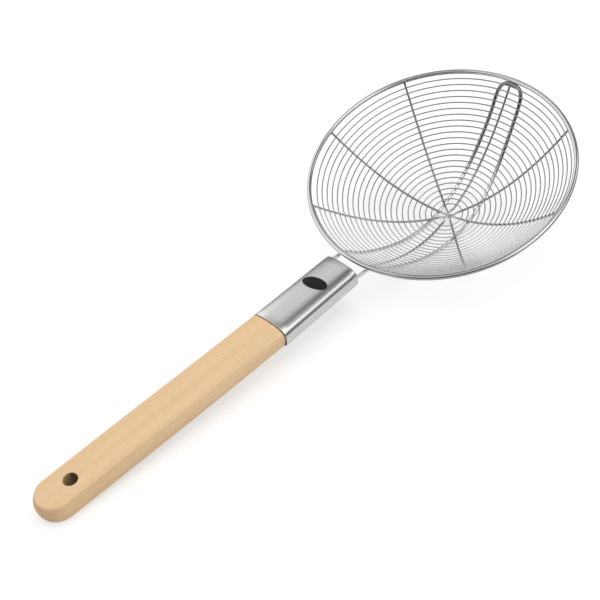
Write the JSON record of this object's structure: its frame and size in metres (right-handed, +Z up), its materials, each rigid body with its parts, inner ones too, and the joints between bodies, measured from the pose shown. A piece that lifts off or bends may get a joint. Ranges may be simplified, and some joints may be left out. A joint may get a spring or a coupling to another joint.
{
  "type": "wire skimmer",
  "caption": "Spider skimmer: a shallow bowl of spiral wire on crossed ribs with a rim ring and a hairpin loop, a flat steel ferrule and a slab wooden handle with a hanging hole.",
  "frame": {"origin": "centre of the bounding box on the table that the skimmer lies on", "axes": "+X along the skimmer from the handle's tip to the far side of the bowl, +Z up from the table, +Y to the left when looking along +X"},
  "size_m": [0.6488, 0.28, 0.133],
  "materials": {
    "wire": "bright drawn stainless wire",
    "ferrule": "stainless sheet, brushed along the handle",
    "wood": "sanded light beech with a thin clear oil",
    "label": "plain matt black print, left bare"
  },
  "bodies": {
    "root": {"rim_ring": "wire", "support_loop": "wire", "rib_wire_long": "wire", "rib_wire_cross_1": "wire", "rib_wire_cross_2": "wire", "rib_wire_cross_3": "wire", "spiral_wire": "wire", "ferrule": "ferrule", "handle": "wood", "oval_label": "label"}
  },
  "joints": []
}
